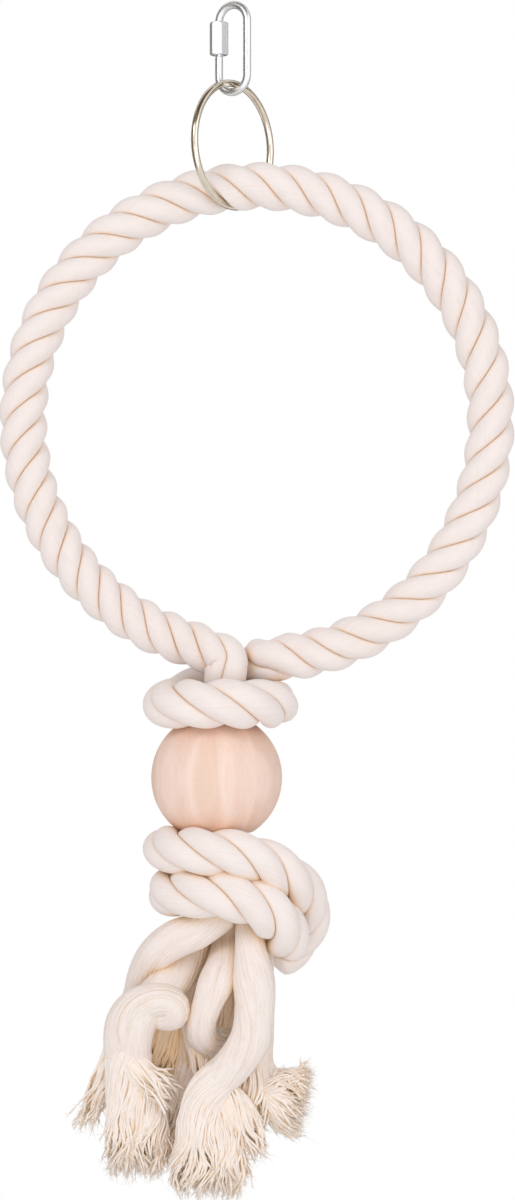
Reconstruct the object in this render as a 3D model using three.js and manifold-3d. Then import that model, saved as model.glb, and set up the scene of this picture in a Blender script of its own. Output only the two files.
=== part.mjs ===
// Rope ring bird swing: a quick link and a round ring carry a rope hoop, and both rope ends run down
// through a wooden bead, share a knot and open into a tassel. Millimetres, +Z up, +X right, +Y away.
// The origin is the hanging point, inside the top bow of the quick link.
import * as THREE from "three";
import { mergeVertices } from "three/addons/utils/BufferGeometryUtils.js";
import Module from "manifold-3d";

// Clearance between pieces that touch
const pieceGap = 0.35;

// Quick link
const linkHeight = 37.2;
const linkWidth = 16.1;
const linkWire = 3.1;
const linkTurnDegrees = -32;
const nutAcrossFlats = 6.6;
const nutLength = 13.1;
const nutEdge = 0.5;
const nutTurnDegrees = 19;
const nutDrop = 4.6;
const mouthDrop = 6.9;
const mouthHeight = 5.3;

// Round ring
const ringOuterDiameter = 51;
const ringWire = 2.8;
const ringTurnDegrees = 52.5;

// Rope, hoop and the steel core that keeps the hoop round
const ropeDiameter = 17.2;
const layLength = 38.4;
const hoopDiameter = 183;
const hoopOffset = 9.4;
const hoopSwingDegrees = 25;
const hoopGirth = 1.06;
const hoopSag = 2.4;
const sagDegrees = 20;
const sagSpanDegrees = 60;
const ringWireSunk = 0.12;
const coreWire = 4;
const coreClearance = 0.6;
const boreOverrun = 3;

// Bead
const beadDiameter = 51.2;
const beadHeight = 42.4;
const beadBore = 26.6;
const legClearance = 0.6;
const beadOffset = -6.4;
const beadDrop = 48.4;

// Unlaid strands of the tassel
const tailDiameter = 11;

// Facets and steps
const barSides = 10;
const lobeSteps = 4;
const stepsPerLay = 8;
const linkSteps = 46;
const ringSteps = 44;
const coreSteps = 72;
const coreSides = 8;
const tailSteps = 14;
const turnedSides = 32;
const arcSteps = 10;
const weldDistance = 1e-4;

const ropeRadius = ropeDiameter / 2;
const hoopRadius = hoopDiameter / 2;
const linkRadius = linkWire / 2;
const ringRadius = ringWire / 2;
const tailRadius = tailDiameter / 2;

// Finishes
const zinc = { color: 0xc9ccd0, roughness: 0.28, metalness: 1 };
const nickel = { color: 0xb9b4aa, roughness: 0.16, metalness: 1 };
const steel = { color: 0x8f9296, roughness: 0.45, metalness: 1 };
const cotton = { color: 0xf3e8e0, roughness: 0.92, metalness: 0 };
const beech = { color: 0xf3d3b4, roughness: 0.6, metalness: 0 };

const wasm = await Module();
wasm.setup();

const swing = new THREE.Group();

function addPiece(name, geometry, finish, parent = swing) {
  const piece = new THREE.Mesh(geometry, new THREE.MeshStandardMaterial(finish));
  piece.name = name;
  parent.add(piece);
  return piece;
}

// A geometry as a closed solid, for joins and cuts
function solidOf(geometry) {
  const bare = geometry.clone();
  bare.deleteAttribute("normal");
  bare.deleteAttribute("uv");
  const merged = mergeVertices(bare, weldDistance);
  return new wasm.Manifold(
    new wasm.Mesh({
      numProp: 3,
      vertProperties: new Float32Array(merged.attributes.position.array),
      triVerts: new Uint32Array(merged.index.array),
    }),
  );
}

function geometryOf(solid) {
  const mesh = solid.getMesh();
  const geometry = new THREE.BufferGeometry();
  geometry.setAttribute("position", new THREE.BufferAttribute(mesh.vertProperties, 3));
  geometry.setIndex(new THREE.BufferAttribute(mesh.triVerts, 1));
  geometry.computeVertexNormals();
  return geometry;
}

function cutFrom(geometry, ...cutters) {
  return geometryOf(cutters.reduce((left, cutter) => left.subtract(solidOf(cutter)), solidOf(geometry)));
}

function polygon(radius, sides) {
  const corners = [];
  for (let i = 0; i < sides; i++) {
    const angle = (2 * Math.PI * i) / sides;
    corners.push(new THREE.Vector2(radius * Math.cos(angle), radius * Math.sin(angle)));
  }
  return new THREE.Shape(corners);
}

// A bar of round section along a curve
function roundBar(curve, radius, steps, sides = barSides) {
  return new THREE.ExtrudeGeometry(polygon(radius, sides), { steps, extrudePath: curve, bevelEnabled: false });
}

function curveThrough(points) {
  const curve = new THREE.CatmullRomCurve3(points, false, "centripetal");
  curve.arcLengthDivisions = 20 * points.length;
  return curve;
}

// A route is a list of places in shares of the rope diameter, from an anchor, each with its girth:
// a share of the rope radius
function routeFrom(anchor, shares) {
  return shares.map(([x, y, z, girth]) => ({
    point: new THREE.Vector3(x, y, z).multiplyScalar(ropeDiameter).add(anchor),
    girth: girth ?? 1,
  }));
}

// Even stations along a route, with the route's frame and girth at each
function stationsOn(route, spacing) {
  const curve = curveThrough(route.map((place) => place.point));
  const count = Math.ceil(curve.getLength() / spacing);
  const frames = curve.computeFrenetFrames(count, false);
  const stations = [];
  for (let i = 0; i <= count; i++) {
    const along = curve.getUtoTmapping(i / count) * (route.length - 1);
    const k = Math.min(Math.floor(along), route.length - 2);
    stations.push({
      point: curve.getPointAt(i / count),
      tangent: frames.tangents[i],
      normal: frames.normals[i],
      binormal: frames.binormals[i],
      girth: THREE.MathUtils.lerp(route[k].girth, route[k + 1].girth, along - k),
      travelled: (curve.getLength() * i) / count,
    });
  }
  return stations;
}

// A closed body through rings of points, with flat ends
function bodyThrough(rings) {
  const sides = rings[0].length;
  const positions = rings.flat().flatMap((p) => [p.x, p.y, p.z]);
  const faces = [];
  for (let i = 0; i + 1 < rings.length; i++) {
    for (let j = 0; j < sides; j++) {
      const a = i * sides + j;
      const b = i * sides + ((j + 1) % sides);
      faces.push(a, b, a + sides, b, b + sides, a + sides);
    }
  }
  const last = (rings.length - 1) * sides;
  for (let j = 1; j + 1 < sides; j++) {
    faces.push(0, j + 1, j);
    faces.push(last, last + j, last + j + 1);
  }
  const geometry = new THREE.BufferGeometry();
  geometry.setAttribute("position", new THREE.Float32BufferAttribute(positions, 3));
  geometry.setIndex(faces);
  geometry.computeVertexNormals();
  return geometry;
}

// Outline of three laid strands at an angle round the rope, as a share of the rope radius
const strandOffsetShare = 0.4;
function lobeShare(angle) {
  const third = (2 * Math.PI) / 3;
  const fromCrest = angle - third * Math.round(angle / third);
  const strandShare = 1 - strandOffsetShare;
  const side = strandOffsetShare * Math.sin(fromCrest);
  return strandOffsetShare * Math.cos(fromCrest) + Math.sqrt(strandShare ** 2 - side ** 2);
}

// Three-strand rope with a right-hand lay along a route
function laidRope(route) {
  const sides = 3 * lobeSteps;
  const rings = stationsOn(route, layLength / stepsPerLay).map((station) => {
    const twist = (2 * Math.PI * station.travelled) / layLength;
    const ring = [];
    for (let j = 0; j < sides; j++) {
      const angle = (2 * Math.PI * j) / sides;
      const reach = ropeRadius * station.girth * lobeShare(angle);
      ring.push(
        station.point
          .clone()
          .addScaledVector(station.normal, reach * Math.cos(angle + twist))
          .addScaledVector(station.binormal, reach * Math.sin(angle + twist)),
      );
    }
    return ring;
  });
  return bodyThrough(rings);
}

// Quick link: a stadium of wire whose left arm has a mouth, bridged by a sleeve nut
const armOffset = (linkWidth - linkWire) / 2;
const upperBowHeight = linkRadius - armOffset;
const lowerBowHeight = linkWire - linkHeight + linkRadius + armOffset;

class LinkPath extends THREE.Curve {
  getPoint(t) {
    const bow = Math.PI * armOffset;
    const lowerArm = -mouthDrop - mouthHeight - lowerBowHeight;
    const rightArm = upperBowHeight - lowerBowHeight;
    const upperArm = upperBowHeight + mouthDrop;
    let s = t * (lowerArm + bow + rightArm + bow + upperArm);
    if (s <= lowerArm) return new THREE.Vector3(-armOffset, 0, lowerBowHeight + lowerArm - s);
    s -= lowerArm;
    if (s <= bow) return this.onBow(Math.PI + s / armOffset, lowerBowHeight);
    s -= bow;
    if (s <= rightArm) return new THREE.Vector3(armOffset, 0, lowerBowHeight + s);
    s -= rightArm;
    if (s <= bow) return this.onBow(s / armOffset, upperBowHeight);
    return new THREE.Vector3(-armOffset, 0, upperBowHeight - (s - bow));
  }

  onBow(angle, height) {
    return new THREE.Vector3(armOffset * Math.cos(angle), 0, height + armOffset * Math.sin(angle));
  }
}

// Hexagonal sleeve nut with its edges and bore chamfered
function sleeveNut() {
  const outline = polygon(nutAcrossFlats / Math.sqrt(3), 6);
  outline.holes.push(polygon(linkRadius + pieceGap, barSides));
  const chamfer = { bevelSize: nutEdge, bevelThickness: nutEdge, bevelOffset: -nutEdge, bevelSegments: 1 };
  return new THREE.ExtrudeGeometry(outline, { depth: nutLength - 2 * nutEdge, steps: 1, ...chamfer });
}

const link = new THREE.Group();
link.rotation.z = THREE.MathUtils.degToRad(linkTurnDegrees);
swing.add(link);
addPiece("link_body", roundBar(new LinkPath(), linkRadius, linkSteps), zinc, link);
const nut = addPiece("link_nut", sleeveNut(), zinc, link);
nut.position.set(-armOffset, 0, nutEdge - nutDrop - nutLength);
nut.rotation.z = THREE.MathUtils.degToRad(nutTurnDegrees);

// Round ring, resting on the link's lower bow
const ringCentreRadius = ringOuterDiameter / 2 - ringRadius;
const linkSeat = 2 * linkWire - linkHeight;
const ringTop = linkSeat + pieceGap + ringRadius;
const ringBottom = ringTop - 2 * ringCentreRadius;
const ringShape = new THREE.TorusGeometry(ringCentreRadius, ringRadius, barSides, ringSteps);
const roundRing = addPiece("o_ring", ringShape, nickel);
roundRing.rotation.set(Math.PI / 2, 0, THREE.MathUtils.degToRad(ringTurnDegrees), "ZYX");
roundRing.position.z = (ringTop + ringBottom) / 2;

// Rope hoop, which sags a little on the lower right: its left end turns down at the neck, and its right end
// turns off behind that
const hoopCentre = new THREE.Vector3(hoopOffset, 0, 0);
const topSlope = Math.asin(hoopOffset / hoopRadius);
hoopCentre.z = ringBottom - ringRadius - ringWireSunk + hoopGirth * ropeRadius;
hoopCentre.z -= hoopRadius * Math.cos(topSlope);
const hoopBottom = hoopCentre.z - hoopRadius;
const neckAnchor = new THREE.Vector3(beadOffset, 0, hoopBottom);

const neckShares = [
  [0.23, -0.21, -0.62, 0.84],
  [0.24, -0.19, -0.43, 0.87],
  [0.14, -0.13, -0.16, 0.92],
  [-0.1, -0.07, 0.05, 0.97],
];
const neckStartDegrees = -17;
const hoopEndDegrees = 7;
const hoopPlaces = 34;
const girthStep = 0.03;

// How far the hoop's line lies outside its circle
function sagAt(degrees) {
  const fromSag = THREE.MathUtils.clamp((degrees + 360 - sagDegrees) / sagSpanDegrees, -1, 1);
  return hoopSag * Math.cos((fromSag * Math.PI) / 2) ** 2;
}

function hoopRoute() {
  const route = routeFrom(neckAnchor, neckShares);
  const sweep = neckStartDegrees + 360 - hoopEndDegrees;
  for (let i = 0; i <= hoopPlaces; i++) {
    const degrees = neckStartDegrees - (sweep * i) / hoopPlaces;
    const angle = THREE.MathUtils.degToRad(degrees);
    const outward = new THREE.Vector3(Math.sin(angle), 0, -Math.cos(angle));
    const girth = Math.min(hoopGirth, 1 + Math.min(i, hoopPlaces - i) * girthStep);
    route.push({ point: outward.multiplyScalar(hoopRadius + sagAt(degrees)).add(hoopCentre), girth });
  }
  return route;
}

// The collar goes behind the neck, round its left side and across the front, and then down the bore
const collarShares = [
  [1.41, 0.01, -0.08, 0.98],
  [1.34, 0.03, -0.09, 0.98],
  [1.23, 0.09, -0.1, 0.98],
  [1.08, 0.26, -0.12, 0.97],
  [0.92, 0.49, -0.14, 0.94],
  [0.67, 0.75, -0.2, 0.92],
  [0.29, 0.99, -0.37, 0.91],
  [-0.22, 1.06, -0.66, 0.94],
  [-0.74, 0.9, -0.92, 0.97],
  [-1.12, 0.46, -1.12, 1],
  [-1.24, -0.14, -1.19, 1.02],
  [-1.02, -0.72, -1.15, 1.04],
  [-0.46, -1.12, -1.12, 1.05],
  [0.18, -1.23, -1.12, 1.05],
  [0.84, -1.02, -1.13, 1.05],
  [1.28, -0.48, -1.15, 1],
  [1.36, 0.04, -1.14, 0.92],
  [1.16, 0.45, -1.1, 0.83],
  [0.85, 0.6, -1.08, 0.77],
];

// Both ropes in the bead's bore, one in front of the other
const boreRadius = beadBore / 2;
const legRadius = (boreRadius - 1.5 * legClearance) / 2;
const legOffset = legRadius + legClearance / 2;
const legGirth = legRadius / ropeRadius;

const beadCentre = new THREE.Vector3(beadOffset, 0, hoopBottom - beadDrop);
const knotAnchor = new THREE.Vector3(beadOffset, 0, beadCentre.z - beadHeight / 2);

// Places of a leg midway in the bead and at its lower face
function legPlaces(side) {
  return [0, -beadHeight / 2].map((rise) => ({
    point: new THREE.Vector3(0, side * legOffset, rise).add(beadCentre),
    girth: legGirth,
  }));
}

// Between the collar and the bore, and between the neck and the bore
const rightDiveShares = [
  [0.51, 0.58, -1.12, 0.73],
  [0.21, 0.51, -1.26, 0.72],
  [0.05, 0.4, -1.52, 0.72],
];
const leftDiveShares = [
  [0.23, -0.22, -0.72, 0.83],
  [0.17, -0.24, -0.95, 0.77],
  [0.08, -0.3, -1.22, 0.72],
  [0.01, -0.36, -1.51, 0.72],
];

// The knot: both ropes leave the bore, go behind, round the left side, down across the front to the right,
// and round behind again, the right rope above and outside the left one
const rightKnotShares = [
  [-0.01, 0.42, -0.17, 0.72],
  [-0.1, 0.55, -0.35, 0.73],
  [-0.3, 0.7, -0.47, 0.77],
  [-0.6, 0.76, -0.49, 0.83],
  [-0.93, 0.55, -0.46, 0.89],
  [-1.15, 0.09, -0.41, 0.92],
  [-1.08, -0.46, -0.38, 0.95],
  [-0.78, -0.88, -0.39, 0.95],
  [-0.29, -1.15, -0.39, 0.96],
  [0.35, -1.22, -0.41, 0.97],
  [1.05, -1.05, -0.62, 0.98],
  [1.64, -0.68, -1.01, 0.98],
  [2, -0.1, -1.46, 0.98],
  [2.07, 0.45, -1.98, 0.98],
  [1.91, 0.8, -2.48, 0.97],
  [1.58, 0.92, -2.85, 0.93],
  [1.2, 0.85, -3, 0.87],
];
const leftKnotShares = [
  [0.01, -0.34, -0.21, 0.71],
  [0.02, -0.29, -0.47, 0.71],
  [0, -0.07, -0.78, 0.72],
  [-0.03, 0.23, -1.07, 0.73],
  [-0.13, 0.49, -1.27, 0.77],
  [-0.28, 0.67, -1.39, 0.81],
  [-0.52, 0.75, -1.43, 0.87],
  [-0.78, 0.65, -1.43, 0.91],
  [-0.97, 0.37, -1.41, 0.93],
  [-1.05, 0, -1.39, 0.95],
  [-0.99, -0.39, -1.38, 0.95],
  [-0.68, -0.78, -1.37, 0.95],
  [-0.17, -1.06, -1.38, 0.95],
  [0.44, -1.18, -1.46, 0.95],
  [1, -1.12, -1.71, 0.93],
  [1.42, -0.85, -2.06, 0.9],
  [1.57, -0.5, -2.4, 0.88],
  [1.47, -0.14, -2.72, 0.84],
];

const rightRoute = [
  ...routeFrom(neckAnchor, collarShares),
  ...routeFrom(neckAnchor, rightDiveShares),
  ...legPlaces(1),
  ...routeFrom(knotAnchor, rightKnotShares),
];
const leftRoute = [
  ...routeFrom(neckAnchor, leftDiveShares),
  ...legPlaces(-1),
  ...routeFrom(knotAnchor, leftKnotShares),
];

// Tassel: each unlaid strand has a route, and a frayed tuft that goes on from its end
const tailShares = [
  [
    [0.12, -0.5, -1.89],
    [-0.42, -0.62, -2.2],
    [-0.93, -0.58, -2.4],
    [-1.34, -0.45, -2.7],
    [-1.64, -0.06, -3.14],
    [-1.8, 0.24, -3.66],
    [-1.98, 0.32, -4.24],
    [-2.21, 0.32, -4.88],
  ],
  [
    [-0.36, 0.35, -1.9],
    [-0.6, 0.17, -2.68],
    [-0.9, -0.2, -3.22],
    [-1.32, -0.62, -3.64],
    [-1.71, -0.72, -4.08],
    [-1.93, -0.64, -4.6],
    [-2, -0.54, -5.13],
    [-1.96, -0.49, -5.64],
  ],
  [
    [0.25, 0.22, -1.76],
    [0.31, 0.14, -2.45],
    [0.2, -0.4, -2.95],
    [-0.02, -0.75, -3.4],
    [-0.2, -0.84, -3.85],
    [-0.34, -0.67, -4.32],
    [-0.27, -0.35, -4.68],
    [0.01, -0.06, -4.8],
    [0.27, 0.14, -4.64],
  ],
  [
    [0.72, -0.36, -2.05],
    [0.78, -0.74, -2.62],
    [0.84, -0.88, -3.26],
    [0.86, -0.9, -3.9],
    [0.76, -0.96, -4.59],
    [0.38, -1.02, -5.17],
    [-0.03, -1.02, -5.58],
    [-0.27, -0.99, -5.99],
    [-0.29, -0.99, -6.37],
  ],
  [
    [0.93, 0.5, -1.96],
    [0.95, 0.24, -2.67],
    [0.95, -0.02, -3.26],
    [0.95, -0.17, -3.95],
    [0.94, -0.23, -4.65],
    [0.92, -0.25, -5.23],
    [1.08, -0.25, -5.7],
  ],
  [
    [0.08, 0.93, -1.8],
    [0.05, 0.72, -2.85],
    [-0.29, 0.62, -3.6],
    [-0.6, 0.57, -4.42],
    [-0.78, 0.52, -5.17],
    [-0.81, 0.49, -5.87],
  ],
];
const tuftShares = [
  [
    [-2.53, 0.19, -5.52, 0.7],
    [-2.76, 0, -6.1, 0.58],
    [-2.91, -0.12, -6.51, 0.35],
  ],
  [
    [-1.9, -0.49, -6.31, 1.12],
    [-1.86, -0.49, -6.9, 1.22],
    [-1.92, -0.49, -7.62, 0.98],
  ],
  [
    [0.46, 0.32, -4.4, 0.58],
    [0.52, 0.44, -4.22, 0.49],
  ],
  [
    [-0.25, -0.98, -6.85, 1.2],
    [-0.16, -0.95, -7.4, 1.48],
    [-0.14, -0.93, -8.05, 1.16],
  ],
  [
    [1.44, -0.27, -6.12, 0.92],
    [1.74, -0.29, -6.18, 1.24],
    [2.05, -0.29, -6.19, 1.36],
  ],
  [
    [-0.82, 0.47, -6.36, 0.84],
    [-0.84, 0.43, -6.9, 0.99],
    [-0.9, 0.39, -7.38, 0.86],
  ],
];

// A tuft starts where its strand ends and swells
function tuft(strand, shares) {
  const girth = tailRadius / ropeRadius;
  const starts = [pieceGap, tailRadius].map((step) => ({
    point: strand.getPointAt(1).addScaledVector(strand.getTangentAt(1), step),
    girth,
  }));
  const route = [...starts, ...routeFrom(knotAnchor, shares)];
  const rings = stationsOn(route, tailRadius / 2).map((station) => {
    const ring = [];
    for (let j = 0; j < barSides; j++) {
      const angle = (2 * Math.PI * j) / barSides;
      ring.push(
        station.point
          .clone()
          .addScaledVector(station.normal, ropeRadius * station.girth * Math.cos(angle))
          .addScaledVector(station.binormal, ropeRadius * station.girth * Math.sin(angle)),
      );
    }
    return ring;
  });
  return bodyThrough(rings);
}

// Bead: a ball with flat ends and a straight bore
function bead() {
  const radius = beadDiameter / 2;
  const half = beadHeight / 2;
  const reach = Math.asin(half / radius);
  const profile = [new THREE.Vector2(boreRadius, -half)];
  for (let i = 0; i <= 2 * arcSteps; i++) {
    const angle = -reach + (reach * i) / arcSteps;
    profile.push(new THREE.Vector2(radius * Math.cos(angle), radius * Math.sin(angle)));
  }
  profile.push(new THREE.Vector2(boreRadius, half));
  profile.push(profile[0].clone());
  return new THREE.LatheGeometry(profile, turnedSides).rotateX(Math.PI / 2);
}

// Least distance between two stretches of rope, less their radii; a stretch skips its own neighbours
const nearSteps = 3;
function leastGap(a, b) {
  let least = Infinity;
  for (const p of a) {
    for (const q of b) {
      const reach = ropeRadius * (p.girth + q.girth);
      if (a === b && Math.abs(p.travelled - q.travelled) < nearSteps * reach) continue;
      least = Math.min(least, p.point.distanceTo(q.point) - reach);
    }
  }
  return least;
}

const windings = { hoop: hoopRoute(), right: rightRoute, left: leftRoute };
for (const [name, route] of Object.entries(windings)) {
  windings[name] = stationsOn(route, pieceGap);
  const gap = leastGap(windings[name], windings[name]);
  console.log(`least gap, ${name} rope to itself:`, gap.toFixed(2), "mm");
}
const ropesApart = leastGap(windings.right, windings.left);
console.log("least gap, right rope to left rope:", ropesApart.toFixed(2), "mm");

const tailRoutes = tailShares.map((shares) => routeFrom(knotAnchor, shares));
const tails = tailRoutes.map((route) => curveThrough(route.map((place) => place.point)));

// Steel core along the round part of the hoop, in a bore that opens at both rope ends
const coreRadius = coreWire / 2;
const coreRoute = hoopRoute().slice(neckShares.length);
const boreRoute = hoopRoute();
const boreEnds = [0, 1].map((u) => {
  const curve = curveThrough(boreRoute.map((place) => place.point));
  return curve.getPointAt(u).addScaledVector(curve.getTangentAt(u), (2 * u - 1) * boreOverrun);
});
boreRoute.unshift({ point: boreEnds[0] });
boreRoute.push({ point: boreEnds[1] });
const coreCurve = curveThrough(coreRoute.map((place) => place.point));
const coreBore = curveThrough(boreRoute.map((place) => place.point));

// The ring's wire sinks into the underside of the hoop, in a seat that clears it as the hoop swings
const swingAxis = new THREE.Vector3(1, 0, 0).applyAxisAngle(
  new THREE.Vector3(0, 0, 1),
  THREE.MathUtils.degToRad(ringTurnDegrees),
);
const ringSeats = [-1, 0, 1].map((side) => {
  const seat = new THREE.TorusGeometry(ringCentreRadius, ringRadius + pieceGap, barSides, ringSteps);
  roundRing.updateMatrix();
  seat.applyMatrix4(roundRing.matrix);
  seat.translate(0, 0, -ringBottom);
  const swung = THREE.MathUtils.degToRad(side * hoopSwingDegrees);
  seat.applyMatrix4(new THREE.Matrix4().makeRotationAxis(swingAxis, swung));
  return seat.translate(0, 0, ringBottom);
});

const boreCutter = roundBar(coreBore, coreRadius + coreClearance, coreSteps, coreSides);
const hoop = cutFrom(laidRope(hoopRoute()), boreCutter, ...ringSeats);
addPiece("rope_hoop", hoop, cotton);
addPiece("hoop_core", roundBar(coreCurve, coreRadius, coreSteps, coreSides), steel);
addPiece("rope_right", laidRope(rightRoute), cotton);
addPiece("rope_left", laidRope(leftRoute), cotton);
addPiece("bead", bead(), beech).position.copy(beadCentre);
tails.forEach((strand, i) => {
  addPiece(`tail_${i + 1}`, roundBar(strand, tailRadius, tailSteps), cotton);
  addPiece(`tuft_${i + 1}`, tuft(strand, tuftShares[i]), cotton);
});

export default swing;
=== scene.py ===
"""Looks of the rope ring bird swing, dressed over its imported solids. Lengths are written in millimetres
and turned to metres where a mesh is made."""
import math

import bpy
import numpy as np
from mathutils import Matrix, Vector


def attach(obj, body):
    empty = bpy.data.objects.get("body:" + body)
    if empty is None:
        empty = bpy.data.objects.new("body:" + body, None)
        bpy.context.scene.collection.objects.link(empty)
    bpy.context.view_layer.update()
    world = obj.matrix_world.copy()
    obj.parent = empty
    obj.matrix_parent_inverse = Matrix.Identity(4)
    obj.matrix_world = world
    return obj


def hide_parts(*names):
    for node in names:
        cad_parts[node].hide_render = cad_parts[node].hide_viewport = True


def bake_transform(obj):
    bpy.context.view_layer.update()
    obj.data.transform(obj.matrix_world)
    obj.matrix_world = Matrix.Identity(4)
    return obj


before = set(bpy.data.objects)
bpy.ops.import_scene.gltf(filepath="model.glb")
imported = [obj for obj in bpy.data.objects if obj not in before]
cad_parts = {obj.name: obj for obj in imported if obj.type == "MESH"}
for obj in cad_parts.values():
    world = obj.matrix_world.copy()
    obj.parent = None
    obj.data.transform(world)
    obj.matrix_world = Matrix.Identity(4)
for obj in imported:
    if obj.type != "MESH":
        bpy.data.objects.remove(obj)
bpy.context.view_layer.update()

MM = 0.001
rng = np.random.default_rng(41)

# Sizes shared with the solids
ROPE_DIAMETER = 17.2
ROPE_RADIUS = ROPE_DIAMETER / 2
HOOP_RADIUS = 91.5
HOOP_CENTRE = np.array([9.4, 0, -160.87])
RING_CENTRE_RADIUS = 24.1
RING_WIRE_RADIUS = 1.4
RING_TURN = math.radians(52.5)
RING_CENTRE = np.array([0, 0, -53.35])
LINK_WIRE_RADIUS = 1.55
LINK_ARM_OFFSET = 6.5
LINK_HEIGHT = 37.2
LINK_TURN = math.radians(-32)
HOOP_BOTTOM = HOOP_CENTRE[2] - HOOP_RADIUS
BEAD_RADIUS = 25.6
BEAD_HALF_HEIGHT = 21.2
BEAD_BORE_RADIUS = 13.3
BEAD_CENTRE = np.array([-6.4, 0, HOOP_BOTTOM - 48.4])
NECK_ANCHOR = np.array([-6.4, 0, HOOP_BOTTOM])
KNOT_ANCHOR = np.array([-6.4, 0, BEAD_CENTRE[2] - BEAD_HALF_HEIGHT])
LEG_GIRTH = 0.721
LEG_OFFSET = 6.5

# Rope places in shares of its diameter, with the girth as a share of its radius
NECK = [
    [0.22, -0.21, -0.66, 1.0], [0.23, -0.2, -0.42, 1.03], [0.18, -0.14, -0.14, 1.06],
    [-0.08, -0.08, 0.03, 1.08],
]
NECK_LAYS = [200, 120, 60, 40]
COLLAR = [
    [1.34, 0.03, -0.1, 1.08], [1.23, 0.09, -0.13, 1.1], [1.08, 0.26, -0.17, 1.1],
    [0.92, 0.49, -0.22, 1.06], [0.67, 0.75, -0.3, 1.02], [0.29, 0.99, -0.46, 1.0],
    [-0.22, 1.06, -0.7, 1.0], [-0.7, 0.9, -0.92, 1.03], [-1.04, 0.46, -1.1, 1.06],
    [-1.14, -0.14, -1.16, 1.08], [-0.96, -0.72, -1.13, 1.1], [-0.46, -1.12, -1.1, 1.12],
    [0.18, -1.23, -1.1, 1.14], [0.84, -1.02, -1.11, 1.13], [1.28, -0.48, -1.13, 1.08],
    [1.36, 0.04, -1.12, 0.98], [1.16, 0.45, -1.08, 0.86], [0.85, 0.6, -1.07, 0.77],
    [0.51, 0.58, -1.12, 0.73], [0.21, 0.51, -1.26, 0.72], [0.05, 0.4, -1.52, 0.72],
]
LEFT_DIVE = [
    [0.22, -0.22, -0.78, 0.96], [0.17, -0.24, -0.95, 0.86], [0.08, -0.3, -1.22, 0.72],
    [0.01, -0.36, -1.51, 0.72],
]
RIGHT_KNOT = [
    [-0.01, 0.42, -0.17, 0.72], [-0.1, 0.55, -0.35, 0.73], [-0.3, 0.7, -0.46, 0.79],
    [-0.6, 0.76, -0.48, 0.88], [-0.93, 0.55, -0.45, 0.97], [-1.15, 0.09, -0.4, 1.03],
    [-1.08, -0.46, -0.37, 1.07], [-0.78, -0.88, -0.37, 1.08], [-0.29, -1.15, -0.37, 1.1],
    [0.35, -1.22, -0.41, 1.1], [1.05, -1.05, -0.61, 1.1], [1.64, -0.68, -1.0, 1.08],
    [2.0, -0.1, -1.46, 1.06], [2.07, 0.45, -1.98, 1.06], [1.91, 0.8, -2.48, 1.05],
    [1.58, 0.92, -2.85, 1.0], [1.2, 0.85, -3.0, 0.9],
]
LEFT_KNOT = [
    [0.01, -0.34, -0.21, 0.71], [0.02, -0.29, -0.47, 0.71], [0, -0.07, -0.78, 0.72],
    [-0.03, 0.23, -1.07, 0.73], [-0.13, 0.49, -1.27, 0.79], [-0.28, 0.67, -1.37, 0.86],
    [-0.52, 0.75, -1.41, 0.95], [-0.78, 0.65, -1.41, 1.01], [-0.97, 0.37, -1.38, 1.05],
    [-1.05, 0, -1.36, 1.09], [-0.99, -0.39, -1.35, 1.1], [-0.68, -0.78, -1.34, 1.12],
    [-0.17, -1.06, -1.32, 1.14], [0.44, -1.18, -1.38, 1.16], [1.0, -1.14, -1.61, 1.17],
    [1.42, -0.88, -1.96, 1.14], [1.58, -0.52, -2.36, 1.05], [1.49, -0.16, -2.7, 0.92],
]
# Length of one turn of the strands round the hoop, by the angle from its lowest point
HOOP_LAYS = [
    (-353, 36.6), (-335, 38.9), (-310, 42.2), (-285, 41.2), (-220, 40.9), (-190, 39.5),
    (-150, 38.8), (-110, 38.3), (-85, 36.6), (-65, 34.5), (-35, 34), (-17, 34.7),
]
HOOP_GIRTH = 1.1
# How far the hoop bulges, at which angle to the right of its lowest point, and over what span each way
SAG = 2.4
SAG_ANGLE = 20
SAG_SPAN = 60
# Length of one turn of the strands in the rope legs, the collar and the knot
LEFT_LEG_LAY = 34.0
COLLAR_BACK_ROWS = 9
COLLAR_LAYS = [49.4] * COLLAR_BACK_ROWS + [44.4] * (len(COLLAR) - COLLAR_BACK_ROWS)
LEG_LAY = 35.2
KNOT_LAY = 48
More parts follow.
